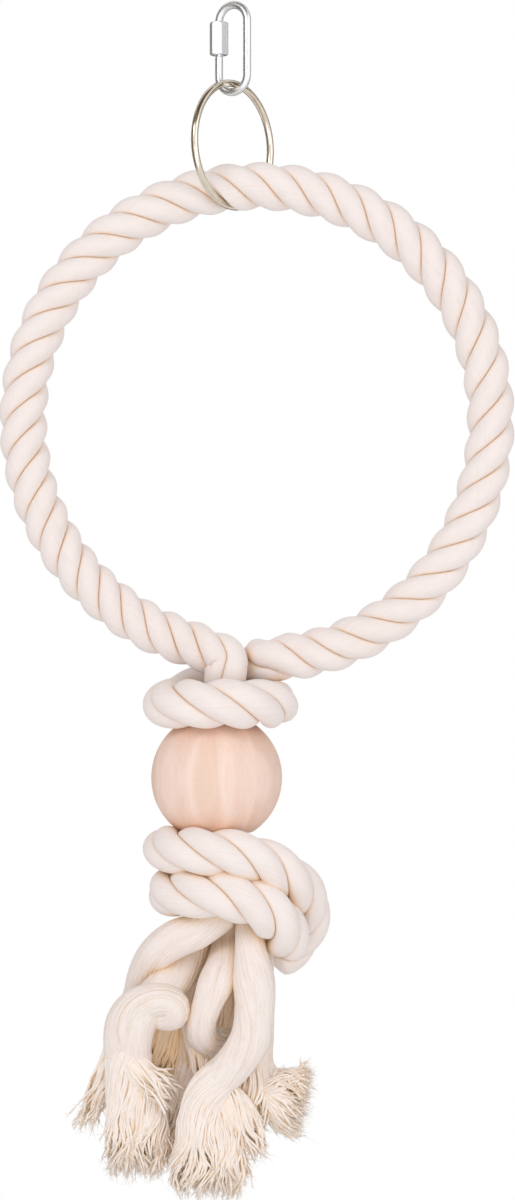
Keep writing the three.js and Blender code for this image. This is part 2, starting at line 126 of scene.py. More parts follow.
# Routes of the tassel's six strands, in shares from the knot
TAILS = [
    [[0.12, -0.5, -1.89], [-0.42, -0.62, -2.2], [-0.93, -0.58, -2.4], [-1.34, -0.45, -2.7],
     [-1.64, -0.06, -3.14], [-1.8, 0.24, -3.66], [-1.98, 0.32, -4.24], [-2.21, 0.32, -4.88]],
    [[-0.36, 0.35, -1.9], [-0.6, 0.17, -2.68], [-0.9, -0.2, -3.22], [-1.32, -0.62, -3.64],
     [-1.71, -0.72, -4.08], [-1.93, -0.64, -4.6], [-2.0, -0.54, -5.13], [-1.96, -0.49, -5.64]],
    [[0.25, 0.22, -1.76], [0.31, 0.14, -2.45], [0.2, -0.4, -2.95], [-0.02, -0.75, -3.4],
     [-0.2, -0.84, -3.85], [-0.34, -0.67, -4.32], [-0.27, -0.35, -4.68], [0.01, -0.06, -4.8],
     [0.27, 0.14, -4.64]],
    [[0.72, -0.36, -2.05], [0.78, -0.74, -2.62], [0.84, -0.88, -3.26], [0.86, -0.9, -3.9],
     [0.76, -0.96, -4.59], [0.38, -1.02, -5.17], [-0.03, -1.02, -5.58], [-0.27, -0.99, -5.99],
     [-0.29, -0.99, -6.37]],
    [[0.93, 0.5, -1.96], [0.95, 0.24, -2.67], [0.95, -0.02, -3.26], [0.95, -0.17, -3.95],
     [0.94, -0.23, -4.65], [0.92, -0.25, -5.23], [1.08, -0.25, -5.7]],
    [[0.08, 0.93, -1.8], [0.05, 0.72, -2.85], [-0.29, 0.62, -3.6], [-0.6, 0.57, -4.42],
     [-0.78, 0.52, -5.17], [-0.81, 0.49, -5.87]],
]


def places(anchor, shares):
    """Rows of x, y, z in millimetres and girth, from rows of shares"""
    rows = np.array([(list(row) + [1.0])[:4] for row in shares], float)
    rows[:, :3] = rows[:, :3] * ROPE_DIAMETER + anchor
    return rows


CURVE_STEPS = 24


def spline(rows, step):
    """Rows every step along the centripetal curve through the rows' points, and their run from the first"""
    p = np.asarray(rows, float)
    ends = np.vstack([2 * p[0] - p[1], p, 2 * p[-1] - p[-2]])
    u = np.linspace(0, 1, CURVE_STEPS, endpoint=False)[:, None]
    fine = []
    for i in range(1, len(ends) - 2):
        a, b, c, d = ends[i - 1 : i + 3]
        gaps = [math.sqrt(np.linalg.norm((q - r)[:3])) for q, r in ((b, a), (c, b), (d, c))]
        start = ((b - a) / gaps[0] - (c - a) / (gaps[0] + gaps[1]) + (c - b) / gaps[1]) * gaps[1]
        end = ((c - b) / gaps[1] - (d - b) / (gaps[1] + gaps[2]) + (d - c) / gaps[2]) * gaps[1]
        fine.append(
            (2 * u**3 - 3 * u**2 + 1) * b + (u**3 - 2 * u**2 + u) * start
            + (3 * u**2 - 2 * u**3) * c + (u**3 - u**2) * end
        )
    fine = np.vstack(fine + [p[-1:]])
    run = np.concatenate([[0], np.cumsum(np.linalg.norm(np.diff(fine[:, :3], axis=0), axis=1))])
    even = np.linspace(0, run[-1], max(int(run[-1] / step), 4) + 1)
    return np.column_stack([np.interp(even, run, fine[:, k]) for k in range(p.shape[1])]), even


def frames(points, reference):
    """Tangents, normals and binormals carried along the points without twist"""
    tangents = np.gradient(points, axis=0)
    tangents /= np.linalg.norm(tangents, axis=1)[:, None]
    normals = np.zeros_like(tangents)
    normal = np.array(reference, float)
    for i, tangent in enumerate(tangents):
        normal = normal - tangent * (normal @ tangent)
        normal /= np.linalg.norm(normal)
        normals[i] = normal
    return tangents, normals, np.cross(tangents, normals)


def add_mesh(name, vertices, faces, smooth=True, **attributes):
    mesh = bpy.data.meshes.new(name)
    mesh.from_pydata((np.asarray(vertices) * MM).tolist(), [], [list(map(int, f)) for f in faces])
    for key, values in attributes.items():
        layer = mesh.attributes.new(key, "FLOAT", "POINT")
        layer.data.foreach_set("value", np.asarray(values, np.float32).ravel())
    mesh.polygons.foreach_set("use_smooth", [smooth] * len(mesh.polygons))
    mesh.update()
    piece = bpy.data.objects.new(name, mesh)
    bpy.context.scene.collection.objects.link(piece)
    return piece


def tube_faces(rings, sides, closed=False, first=0):
    """Quads between rings of points, with one face at each open end"""
    faces = []
    last = rings if closed else rings - 1
    for i in range(last):
        a = first + i * sides
        b = first + ((i + 1) % rings) * sides
        for j in range(sides):
            k = (j + 1) % sides
            faces.append((a + j, a + k, b + k, b + j))
    if not closed:
        faces.append(tuple(first + j for j in reversed(range(sides))))
        faces.append(tuple(first + (rings - 1) * sides + j for j in range(sides)))
    return faces


# Materials
def new_material(name):
    material = bpy.data.materials.new(name)
    material.use_nodes = True
    material.node_tree.nodes.clear()
    return material, material.node_tree


def node(tree, kind, inputs=None, **settings):
    made = tree.nodes.new(kind)
    for key, value in settings.items():
        setattr(made, key, value)
    for key, value in (inputs or {}).items():
        socket = made.inputs[key]
        if hasattr(value, "node"):
            tree.links.new(value, socket)
        else:
            socket.default_value = value
    return made


def attribute(tree, name):
    return node(tree, "ShaderNodeAttribute", attribute_name=name).outputs["Fac"]


def ramp(tree, fac, stops):
    made = node(tree, "ShaderNodeValToRGB", {"Fac": fac})
    elements = made.color_ramp.elements
    while len(elements) < len(stops):
        elements.new(0.5)
    for element, (place, colour) in zip(elements, stops):
        element.position = place
        element.color = (*colour, 1)
    return made.outputs["Color"]


def mix(tree, fac, a, b, blend_type="MIX"):
    made = node(tree, "ShaderNodeMix", {"Factor": fac, 6: a, 7: b}, data_type="RGBA", blend_type=blend_type)
    return made.outputs[2]


def maths(tree, operation, a, b=0.0):
    return node(tree, "ShaderNodeMath", {0: a, 1: b}, operation=operation).outputs[0]


def surface(tree, inputs):
    shader = node(tree, "ShaderNodeBsdfPrincipled", inputs)
    node(tree, "ShaderNodeOutputMaterial", {"Surface": shader.outputs["BSDF"]})


def object_place(tree, scale=(1, 1, 1)):
    place = node(tree, "ShaderNodeTexCoord").outputs["Object"]
    return node(tree, "ShaderNodeMapping", {"Vector": place, "Scale": scale}).outputs["Vector"]


def noise(tree, place, scale, detail, roughness=0.5):
    inputs = {"Vector": place, "Scale": scale, "Detail": detail, "Roughness": roughness}
    return node(tree, "ShaderNodeTexNoise", inputs).outputs["Fac"]


def tint(tree, colour, fac, stops, strength=1.0):
    """The colour multiplied by a ramp"""
    return mix(tree, strength, colour, ramp(tree, fac, stops), "MULTIPLY")


def openness(tree, reach):
    """How open a place is to its surroundings, over a reach in millimetres"""
    inputs = {"Distance": reach * MM}
    return node(tree, "ShaderNodeAmbientOcclusion", inputs, samples=6).outputs["AO"]


def relief_normal(tree, height, strength, depth):
    """A bump with its depth in millimetres"""
    inputs = {"Height": height, "Strength": strength, "Distance": depth * MM}
    return node(tree, "ShaderNodeBump", inputs).outputs["Normal"]


WHITE = (1, 1, 1)
BLACK = (0, 0, 0)
STREAK_LENGTH = 14


def cotton(name, pale, warm, deep, yarn_spacing, relief, streak_shade, hollow_shade, hollow_shade_reach, sheen):
    """Cotton yarn: fine streaks along the yarns with painted shade in their low lines, soft mottling, and
    painted tan shade in the grooves and the hollows
    """
    material, tree = new_material(name)
    yarn = maths(tree, "MULTIPLY", attribute(tree, "yarn"), 1 / (yarn_spacing * MM))
    along = maths(tree, "MULTIPLY", attribute(tree, "along"), 1 / (STREAK_LENGTH * yarn_spacing * MM))
    lane = node(tree, "ShaderNodeCombineXYZ", {"X": yarn, "Y": along, "Z": attribute(tree, "strand")})
    streaks = noise(tree, lane.outputs[0], 1, 3, 0.6)
    place = object_place(tree)
    mottle = noise(tree, place, 60, 4)
    fuzz = noise(tree, place, 2400, 2)
    colour = ramp(tree, mottle, [(0.35, pale), (0.7, warm)])
    # Painted shade: darker where the streak noise is low, where the same noise also lowers the bump
    colour = tint(tree, colour, streaks, [(0.3, streak_shade), (0.5, WHITE)])
    # Painted shade: the groove attribute mixes in the deep colour in the seams between the rope's strands, in
    # the low lines between yarns and on strands and yarns set back in the tassel, with a little random tone
    # per yarn in the frays
    groove = ramp(tree, attribute(tree, "groove"), [(0.25, BLACK), (0.95, WHITE)])
    colour = mix(tree, groove, colour, (*deep, 1))
    # Painted shade: a tan tint where the ambient occlusion finds the surface closed in, in the hollows
    colour = tint(tree, colour, openness(tree, hollow_shade_reach), [(0.1, hollow_shade), (0.8, WHITE)])
    height = maths(tree, "ADD", streaks, maths(tree, "MULTIPLY", fuzz, 0.35))
    surface(tree, {
        "Base Color": colour, "Roughness": 0.92, "Normal": relief_normal(tree, height, 0.5, relief),
        "Specular IOR Level": 0.15, "Sheen Weight": sheen, "Sheen Roughness": 0.5,
    })
    return material


def metal(name, colour, dark, roughness, scratch_scale):
    """Plated or bare steel, with a faint mottling and faint scratches"""
    material, tree = new_material(name)
    mottle = noise(tree, object_place(tree), 420, 3)
    scratches = noise(tree, object_place(tree, scratch_scale), 300, 4, 0.7)
    tone = ramp(tree, mottle, [(0.3, colour), (0.75, dark)])
    rough = node(tree, "ShaderNodeMapRange", {
        "Value": scratches, "From Min": 0.3, "From Max": 0.7,
        "To Min": roughness * 0.9, "To Max": roughness * 1.2,
    }).outputs["Result"]
    normal = relief_normal(tree, scratches, 0.03, 0.01)
    surface(tree, {"Base Color": tone, "Metallic": 1.0, "Roughness": rough, "Normal": normal})
    return material


def beech():
    """Turned beech with its grain running up the bead, soft wide bands, fine dark flecks and painted shade
    where it is closed in
    """
    material, tree = new_material("bare_beech")
    grain = node(tree, "ShaderNodeMapping", {
        "Vector": node(tree, "ShaderNodeTexCoord").outputs["Object"],
        "Location": (0.0064, 0.011, 0), "Rotation": (0.03, 0.05, 0.4), "Scale": (1, 0.55, 0.035),
    }).outputs["Vector"]
    bands = noise(tree, grain, 190, 3, 0.55)
    fine = noise(tree, grain, 1500, 3)
    wide = noise(tree, grain, 64, 1)
    fleck_place = object_place(tree, (1, 1, 0.16))
    flecks = node(tree, "ShaderNodeTexVoronoi", {"Vector": fleck_place, "Scale": 1300}).outputs["Distance"]
    light = (0.93, 0.73, 0.64)
    colour = ramp(tree, bands, [(0.3, (0.88, 0.64, 0.53)), (0.46, (0.91, 0.69, 0.59)), (0.62, light)])
    colour = mix(tree, 0.5, colour, ramp(tree, fine, [(0.35, (0.89, 0.66, 0.56)), (0.62, light)]))
    colour = tint(tree, colour, wide, [(0.44, (0.93, 0.88, 0.84)), (0.5, WHITE), (0.58, (0.96, 0.93, 0.91))])
    colour = tint(tree, colour, flecks, [(0.03, (0.8, 0.72, 0.66)), (0.16, WHITE)], 0.8)
    # Painted shade: warmer and darker where the ambient occlusion finds the bead closed in
    colour = tint(tree, colour, openness(tree, 12), [(0.2, (1, 0.95, 0.88)), (0.9, WHITE)])
    normal = relief_normal(tree, fine, 0.2, 0.05)
    surface(tree, {"Base Color": colour, "Roughness": 0.62, "Normal": normal, "Specular IOR Level": 0.3})
    return material


# The deep colour of each cotton is painted shade in its grooves, the hollow colour painted shade in its
# hollows, and the streak colour painted shade in the fine lines between its yarns
ROPE = cotton(
    "cotton_rope", pale=(0.9, 0.815, 0.785), warm=(0.89, 0.795, 0.76), deep=(0.72, 0.58, 0.42),
    yarn_spacing=0.8, relief=0.12, streak_shade=(0.97, 0.95, 0.93),
    hollow_shade=(1.0, 0.86, 0.66), hollow_shade_reach=5, sheen=0.1,
)
STRAND = cotton(
    "cotton_strand", pale=(0.905, 0.815, 0.775), warm=(0.895, 0.79, 0.74), deep=(0.84, 0.63, 0.42),
    yarn_spacing=0.5, relief=0.34, streak_shade=(0.93, 0.865, 0.8),
    hollow_shade=(1.0, 0.84, 0.58), hollow_shade_reach=8, sheen=0.1,
)
FRAY = cotton(
    "cotton_fray", pale=(0.95, 0.865, 0.82), warm=(0.945, 0.845, 0.785), deep=(0.98, 0.72, 0.42),
    yarn_spacing=0.3, relief=0.08, streak_shade=(0.98, 0.95, 0.91),
    hollow_shade=(1.0, 0.86, 0.61), hollow_shade_reach=4, sheen=0.4,
)
ZINC = metal("zinc_plate", (0.82, 0.83, 0.85), (0.77, 0.78, 0.81), 0.34, (1, 1, 0.1))
NICKEL = metal("nickel_plate", (0.76, 0.69, 0.59), (0.64, 0.56, 0.45), 0.15, (1, 1, 1))
CORE = metal("core_steel", (0.5, 0.5, 0.52), (0.4, 0.4, 0.42), 0.4, (1, 1, 1))
BEECH = beech()


def finish_piece(piece, body, slot, material, *nodes):
    """Gives a piece its material, the body that carries it and the solids that it stands for; the slot is not
    used
    """
    piece.data.materials.clear()
    piece.data.materials.append(material)
    if body:
        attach(piece, body)
    if nodes:
        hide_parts(*nodes)


# Camera, at the photograph's distance and scale: a pixel in millimetres and the origin's place in pixels
PIXEL = 0.3914
PHOTO_WIDTH = 515
PHOTO_HEIGHT = 1200
ORIGIN_RIGHT = 233
ORIGIN_DOWN = 8.9
LENS = 100
SENSOR = 36
VIEW_DISTANCE = PHOTO_HEIGHT * PIXEL * LENS / SENSOR
VIEW_CENTRE = np.array([PHOTO_WIDTH / 2 - ORIGIN_RIGHT, 0, ORIGIN_DOWN - PHOTO_HEIGHT / 2]) * PIXEL
camera_data = bpy.data.cameras.new("camera")
camera_data.sensor_fit = "VERTICAL"
camera_data.sensor_height = SENSOR
camera_data.lens = LENS
camera = bpy.data.objects.new("camera", camera_data)
camera.location = Vector((VIEW_CENTRE - np.array([0, VIEW_DISTANCE, 0])) * MM)
camera.rotation_euler = (math.pi / 2, 0, 0)
bpy.context.scene.collection.objects.link(camera)
bpy.context.scene.camera = camera

# Unlaid strands of the tassel: half width and half depth along each, in millimetres
TAIL_SHAPES = [
    [(5.2, 4.4), (7.0, 5.0), (7.4, 5.4), (6.8, 5.4), (5.8, 5.2), (5.4, 5.2), (5.2, 5.0), (5.0, 4.6)],
    [(6.0, 5.0), (7.6, 5.4), (7.8, 5.8), (7.4, 6.0), (7.6, 6.2), (8.6, 6.4), (8.8, 6.2), (8.6, 6.2)],
    [(5.6, 4.8), (7.0, 5.2), (7.2, 5.4), (6.8, 5.4), (5.7, 5.2),
     (5.8, 5.2), (6.4, 5.2), (5.8, 5.2), (5.2, 4.8)],
    [(4.8, 4.6), (6.2, 5.4), (8.0, 5.8), (7.6, 5.8), (7.6, 6.0),
     (7.4, 6.0), (7.6, 6.0), (8.2, 6.0), (8.6, 6.0)],
    [(5.4, 5.0), (6.0, 5.2), (6.2, 5.2), (6.4, 5.4), (6.4, 5.6), (6.4, 5.8), (6.8, 6.2)],
    [(5.4, 5.0), (7.0, 5.4), (7.4, 5.4), (7.4, 5.4), (7.0, 5.4), (6.8, 5.4)],
]
# The bent-over top of the second strand: place in shares from the knot, half width and half depth in
# millimetres
FOLD = [
    [-1.97, -0.46, -5.39, 7.0, 5.2], [-2.02, -0.53, -5.02, 8.4, 6.0], [-2.04, -0.64, -4.61, 8.8, 6.5],
    [-2.0, -0.72, -4.25, 8.4, 6.4], [-1.81, -0.77, -3.95, 7.8, 6.2], [-1.52, -0.81, -3.79, 7.2, 6.0],
    [-1.22, -0.83, -3.77, 6.9, 6.0], [-0.99, -0.82, -3.88, 6.7, 6.0], [-0.99, -0.78, -4.04, 6.4, 5.8],
    [-1.22, -0.68, -4.11, 5.6, 5.0], [-1.52, -0.52, -4.09, 4.4, 4.2],
]
TAIL_LEAD = 4.5
# Two strands at the back start farther in, inside the knot
INNER_STARTS = {5: [[0.8, -0.25, -1.4], [0.88, 0.22, -1.56]], 6: [[0.04, 0.5, -1.22], [0.08, 0.82, -1.45]]}
TAIL_SIDES = 120
TAIL_STEP = 1.1
TAIL_TWIST = 2 * math.pi / 190
TAIL_RADIUS = 6
TAIL_END = 3
YARN_DEPTH = 0.026
LUMP_DEPTH = 0.06
# Painted shade on each strand, more on the strands that lie further back
TAIL_PAINTED_SHADES = [0, 0, 0.05, 0, 0.1, 0.35]
YARN_RIPPLES = range(19, 40)


def ripple(angle, run):
    """Uneven parallel yarns: a sum of ripples round the strand that drift along it"""
    total = np.zeros(np.broadcast(angle, run).shape)
    for k in YARN_RIPPLES:
        phase, drift = rng.uniform(0, 2 * math.pi), rng.normal(0, 0.05)
        total += np.cos(k * angle + phase + drift * run)
    return total / math.sqrt(len(YARN_RIPPLES))


def strand(name, rows, number, painted_shade):
    """A bundle of loose parallel yarns along rows of x, y, z, half width and half depth"""
    line, run = spline(rows, TAIL_STEP)
    points = line[:, :3]
    _, depth, width = frames(points, (0.05, -1, 0.02))
    angles = np.linspace(0, 2 * math.pi, TAIL_SIDES, endpoint=False)[None, :]
    twisted = angles + TAIL_TWIST * run[:, None]
    relief = ripple(twisted, run[:, None])
    lumps = 0.22 * np.sin(2 * angles + run[:, None] / 9) + 0.16 * np.sin(3 * angles - run[:, None] / 6)
    ends = np.sqrt(np.clip(np.minimum(run, run[-1] - run) / TAIL_END + 0.1, 0.1, 1))[:, None]
    swell = ends * (1 + YARN_DEPTH * np.clip(relief, -1.6, 1.6) + LUMP_DEPTH * lumps)
    across = line[:, 3:4] * swell * np.sin(angles)
    deep = line[:, 4:5] * swell * np.cos(angles)
    sideways = points[:, None, :] + across[..., None] * width[:, None, :]
    vertices = sideways + deep[..., None] * depth[:, None, :]
    # Painted shade: darker in the low lines between the yarns, plus the strand's set shade
    groove = np.clip(-relief - 0.35, 0, 1) * 0.75 + painted_shade
    piece = add_mesh(
        name, vertices.reshape(-1, 3), tube_faces(len(points), TAIL_SIDES),
        yarn=np.broadcast_to(twisted * TAIL_RADIUS * MM, relief.shape),
        along=np.broadcast_to(run[:, None] * MM, relief.shape),
        groove=groove, strand=np.full(relief.shape, float(number)),
    )
    return piece, line


def tail(number, shares, shape):
    """A strand of the tassel, from its hidden start in the knot"""
    inner = INNER_STARTS.get(number, [])
    rows = places(KNOT_ANCHOR, inner + shares)
    if not inner:
        lead = rows[0, :3] - rows[1, :3]
        rows[0, :3] += lead / np.linalg.norm(lead) * TAIL_LEAD
    rows = np.column_stack([rows[:, :3], np.array(shape[:1] * len(inner) + shape)])
    piece, line = strand(f"strand_{number}", rows, number, TAIL_PAINTED_SHADES[number - 1])
    finish_piece(piece, "pendant", "cotton_strand", STRAND, f"tail_{number}")
    return piece, line


# Frayed ends: the yarns run on past the strand, spread, crimp and end raggedly. A brush has rows of place in
# shares from the knot and of half width and half depth in millimetres. With a stem it starts so many
# millimetres up the strand
# A brush's shade is painted shade, set higher for brushes that lie behind other strands or inside the tassel
BRUSHES = [
    [
        dict(
            rows=[
                [-2.43, 0.17, -5.27, 4.0, 3.2], [-2.64, 0.12, -5.79, 4.4, 3.2],
                [-2.84, 0.06, -6.3, 3.6, 2.6], [-3.0, 0.0, -6.7, 2.2, 1.8],
            ],
            stem=12, yarns=90, ragged=0.45, curl=1.2, painted_shade=0,
        ),
    ],
    [
        dict(
            rows=[
                [-1.93, -0.49, -5.81, 9.8, 7.4], [-1.83, -0.49, -6.31, 11.2, 8.2],
                [-1.79, -0.49, -6.83, 12.4, 8.8], [-1.79, -0.49, -7.32, 12.4, 8.6],
                [-1.79, -0.49, -7.66, 11.0, 8.0],
            ],
            stem=20, yarns=460, ragged=0.24, curl=1.0, painted_shade=0,
        ),
        dict(
            rows=[
                [-2.11, -0.6, -4.75, 2.5, 2.2], [-1.93, -0.72, -5.11, 4.5, 3.0],
                [-1.61, -0.82, -5.43, 5.6, 3.6], [-1.29, -0.8, -5.68, 5.2, 3.6],
                [-1.02, -0.72, -5.93, 3.8, 3.2],
            ],
            stem=0, yarns=110, ragged=0.4, curl=1.2, painted_shade=0.05,
        ),
    ],
    [
        dict(
            rows=[
                [0.42, 0.22, -4.45, 5.0, 4.2], [0.42, 0.32, -4.14, 5.2, 4.2],
                [0.34, 0.36, -3.86, 4.0, 3.4],
            ],
            stem=14, yarns=90, ragged=0.25, curl=0.6, painted_shade=0.4,
        ),
        dict(
            rows=[
                [0.22, 0.2, -3.4, 3.4, 2.8], [0.28, 0.16, -3.95, 4.6, 3.4],
                [0.24, 0.1, -4.5, 5.0, 3.6], [0.12, 0.05, -4.95, 4.6, 3.4],
            ],
            stem=0, yarns=90, ragged=0.3, curl=0.7, painted_shade=0.6,
        ),
    ],
    [
        dict(
            rows=[
                [-0.29, -0.99, -6.46, 10.4, 7.4], [-0.2, -0.96, -6.91, 13, 8.8],
                [-0.16, -0.93, -7.39, 14.2, 9.6], [-0.14, -0.93, -7.81, 13, 9],
                [-0.14, -0.93, -8.04, 11, 8],
            ],
            stem=22, yarns=500, ragged=0.26, curl=1.0, painted_shade=0,
        ),
        dict(
            rows=[
                [0.1, -0.95, -5.6, 4.4, 3.6], [0.3, -0.97, -6.0, 6.2, 4.6],
                [0.52, -0.93, -6.42, 7.6, 5.8], [0.69, -0.84, -6.86, 7.6, 6.0],
                [0.81, -0.76, -7.26, 6.4, 5.2],
            ],
            stem=0, yarns=110, ragged=0.35, curl=1.1, painted_shade=0.1,
        ),
    ],
    [
        dict(
            rows=[
                [1.21, -0.26, -5.8, 8.6, 8.2], [1.44, -0.29, -5.93, 11.4, 10.4],
                [1.67, -0.29, -6.04, 13.2, 11.6], [1.87, -0.29, -6.09, 13.4, 11.6],
                [1.98, -0.29, -6.11, 12.4, 10.6],
            ],
            stem=10, yarns=500, ragged=0.2, curl=0.7, painted_shade=0,
        ),
        dict(
            rows=[
                [0.76, -0.4, -5.34, 5.0, 4.4], [0.81, -0.45, -5.75, 6.6, 5.2],
                [0.87, -0.5, -6.16, 7.0, 5.6], [0.92, -0.5, -6.57, 6.2, 5.2],
            ],
            stem=0, yarns=110, ragged=0.35, curl=1.1, painted_shade=0.15,
        ),
        dict(
            rows=[
                [1.03, -0.35, -6.03, 4.5, 4.5], [1.24, -0.4, -5.87, 7.0, 6.6],
                [1.49, -0.42, -5.8, 8.2, 7.6], [1.72, -0.42, -5.84, 7.4, 7.2],
            ],
            stem=0, yarns=150, ragged=0.35, curl=1.5, painted_shade=0.05,
        ),
    ],
    [
        dict(
            rows=[
                [-0.84, 0.47, -6.09, 8.4, 7], [-0.89, 0.44, -6.59, 9.6, 7.6],
                [-0.98, 0.41, -7.04, 9.8, 7.6], [-1.05, 0.38, -7.36, 8.4, 6.8],
            ],
            stem=14, yarns=160, ragged=0.3, curl=1.0, painted_shade=0.4,
        ),
        dict(
            rows=[
                [-1.0, 0.4, -4.2, 3.6, 3.0], [-1.12, 0.36, -4.7, 5.6, 4.0],
                [-1.22, 0.3, -5.2, 6.4, 4.4], [-1.26, 0.3, -5.7, 6.0, 4.4],
            ],
            stem=0, yarns=110, ragged=0.3, curl=0.8, painted_shade=0.7,
        ),
        dict(
            rows=[
                [-0.65, 0.2, -4.3, 3.4, 3.0], [-0.42, 0.1, -4.8, 5.0, 3.6],
                [-0.24, 0.0, -5.25, 5.6, 4.0], [-0.15, -0.1, -5.7, 5.0, 3.6],
            ],
            stem=0, yarns=100, ragged=0.3, curl=0.8, painted_shade=0.35,
        ),
    ],
]
YARN_RADIUS = 0.54
YARN_SIDES = 5
YARN_STEPS = 16
YARN_GAP = 0.37
SHELL_SHARE = 0.52
SPLAY = 1.5
SPLAY_START = 0.75
STEM_STRIDE = 5
STEM_ROOM = 0.15
CORE_SHARE = 0.82
CORE_SIDES = 40
FIBRES_PER_YARN = 4
FIBRE_RADIUS = 0.08
FIBRE_SIDES = 3
FIBRE_TAPER = [1, 1, 0.9, 0.7, 0.4]


def thread_mesh(lines, radii, sides):
    """Vertices and faces of thin tubes along many lines of equally many points"""
    lines = np.asarray(lines)
    count, steps, _ = lines.shape
    tangents = np.gradient(lines, axis=1)
    tangents /= np.linalg.norm(tangents, axis=2)[..., None] + 1e-9
    side = np.cross(tangents, np.array([0.31, 0.88, 0.36]))
    side /= np.linalg.norm(side, axis=2)[..., None] + 1e-9
    up = np.cross(tangents, side)
    angles = np.linspace(0, 2 * math.pi, sides, endpoint=False)
    ring = np.cos(angles)[:, None] * side[:, :, None, :] + np.sin(angles)[:, None] * up[:, :, None, :]
    vertices = lines[:, :, None, :] + radii[:, :, None, None] * ring
    faces = []
    for i in range(count):
        faces += tube_faces(steps, sides, first=i * steps * sides)
    return vertices.reshape(-1, 3), faces


def brush(strand_line, rows, stem, yarns, ragged, curl, painted_shade):
    """Vertices and faces, painted shade and yarn numbers of a brush's yarns, their fibres and its core"""
    route = places(KNOT_ANCHOR, rows)[:, :3]
    route = np.column_stack([route, np.array(rows)[:, 3:]])
    if stem:
        back = strand_line[-int(stem / TAIL_STEP) :: STEM_STRIDE].copy()
        back[:, 3:] += STEM_ROOM
        route = np.vstack([back, route])
    line, run = spline(route, 1.0)
    _, depth, width = frames(line[:, :3], (0.05, -1, 0.02))
    t = np.linspace(0, 1, YARN_STEPS)
    bearing = rng.uniform(0, 2 * math.pi, yarns)[:, None]
    shell = rng.random(yarns) < SHELL_SHARE
    outer = rng.uniform(0.86, 1.0, yarns)
    radius = np.where(shell, outer, np.sqrt(rng.uniform(0.0, 0.78, yarns)))[:, None]
    clump = rng.uniform(0, 2 * math.pi, 6)
    reach = 1 - ragged * rng.random((yarns, 1)) ** 1.6
    reach -= 0.07 * (1 + np.sin(3 * bearing + clump[0])) * np.sin(5 * bearing + clump[1]) ** 2
    share = t[None, :] * reach
    place = share * (len(line) - 1)

    def at(values):
        """Values of the route at each yarn's places"""
        low = np.clip(np.floor(place).astype(int), 0, len(line) - 2)
        part = (place - low)[..., None]
        return values[low] * (1 - part) + values[low + 1] * part

    far = run[-1] * share
    loose = curl * share**1.3
    phase = rng.uniform(0, 2 * math.pi, (4, yarns))[..., None]
    swell = 1 + 0.1 * loose * np.sin(2 * bearing + far / 4.5 + clump[2])
    radial = radius * np.interp(t, [0, 0.2], [0.9, 1]) * swell + 0.05 * loose * np.sin(far / 3 + phase[0])
    turn = bearing + TAIL_TWIST * far + loose * (
        0.26 * np.sin(2 * bearing + far / 5.5 + clump[3])
        + 0.18 * np.sin(3 * bearing - far / 3.6 + clump[4])
        + 0.05 * np.sin(far / 2 + phase[1])
    )
    shape = at(line)
    across = (radial * shape[..., 3] * np.sin(turn))[..., None]
    deep = (radial * shape[..., 4] * np.cos(turn))[..., None]
    waves = [np.sin(far / 1.5 + phase[2]), 0 * far, np.cos(far / 1.7 + phase[3])]
    crimp = 0.5 * loose[..., None] * np.stack(waves, axis=2)
    lines = shape[..., :3] + across * at(width) + deep * at(depth) + crimp
    near_tip = np.clip((t - SPLAY_START) / (1 - SPLAY_START), 0, 1)[None, :, None]
    lines = lines + rng.normal(0, SPLAY, (yarns, 1, 3)) * near_tip**2 * curl
    slim = np.interp(t, [0, 0.12, 0.9, 1], [0.15, 1, 1, 0.75])
    radii = YARN_RADIUS * rng.uniform(0.7, 1.25, yarns)[:, None] * slim[None, :]
    parts = [thread_mesh(lines, radii, YARN_SIDES)]
    # Painted shade on the yarns: the brush's set shade and more on the inner yarns, with a little random tone
    # per yarn, fading in along a stem
    tone = np.clip(painted_shade + rng.uniform(-0.1, 0.16, yarns) + 0.15 * (1 - radius[:, 0] ** 2), 0, 0.9)
    fade = np.interp(t, [0, 0.45], [0.1, 1] if stem else [1, 1])
    grooves = [np.repeat((tone[:, None] * fade).ravel(), YARN_SIDES)]
    ids = [np.repeat(np.arange(yarns, dtype=float), YARN_STEPS * YARN_SIDES)]

    tips = np.repeat(lines[:, -1], FIBRES_PER_YARN, axis=0)
    heading = np.repeat(lines[:, -1] - lines[:, -3], FIBRES_PER_YARN, axis=0)
    heading /= np.linalg.norm(heading, axis=1)[:, None]
    spread = heading + rng.normal(0, 0.45, heading.shape)
    bend = rng.normal(0, 0.6, heading.shape)
    s = np.linspace(-0.15, 1, len(FIBRE_TAPER))[None, :, None]
    lengths = rng.uniform(0.8, 2.8, len(tips))[:, None, None]
    fibres = tips[:, None] + lengths * (s * spread[:, None] + s**2 * bend[:, None] * 0.5)
    thin = np.full(fibres.shape[:2], FIBRE_RADIUS) * np.array(FIBRE_TAPER)
    parts.append(thread_mesh(fibres, thin, FIBRE_SIDES))
    fibre_points = len(tips) * len(FIBRE_TAPER) * FIBRE_SIDES
    # The fibres get half the brush's painted shade
    grooves.append(np.full(fibre_points, painted_shade * 0.5))
    ids.append(np.zeros(fibre_points))

    core = line[: int(len(line) * CORE_SHARE)]
    angles = np.linspace(0, 2 * math.pi, CORE_SIDES, endpoint=False)[None, :]
    place = np.arange(len(core))
    taper = np.interp(place, [0, 7, len(core) * 0.6, len(core) - 1], [0.3, 0.94, 0.9, 0.15])[:, None]
    taper = taper * (1 + 0.07 * np.sin(9 * angles + place[:, None] / 7))
    wide = (core[:, 3:4] * taper * np.sin(angles))[..., None] * width[: len(core), None]
    thick = (core[:, 4:5] * taper * np.cos(angles))[..., None] * depth[: len(core), None]
    parts.append(((core[:, None, :3] + wide + thick).reshape(-1, 3), tube_faces(len(core), CORE_SIDES)))
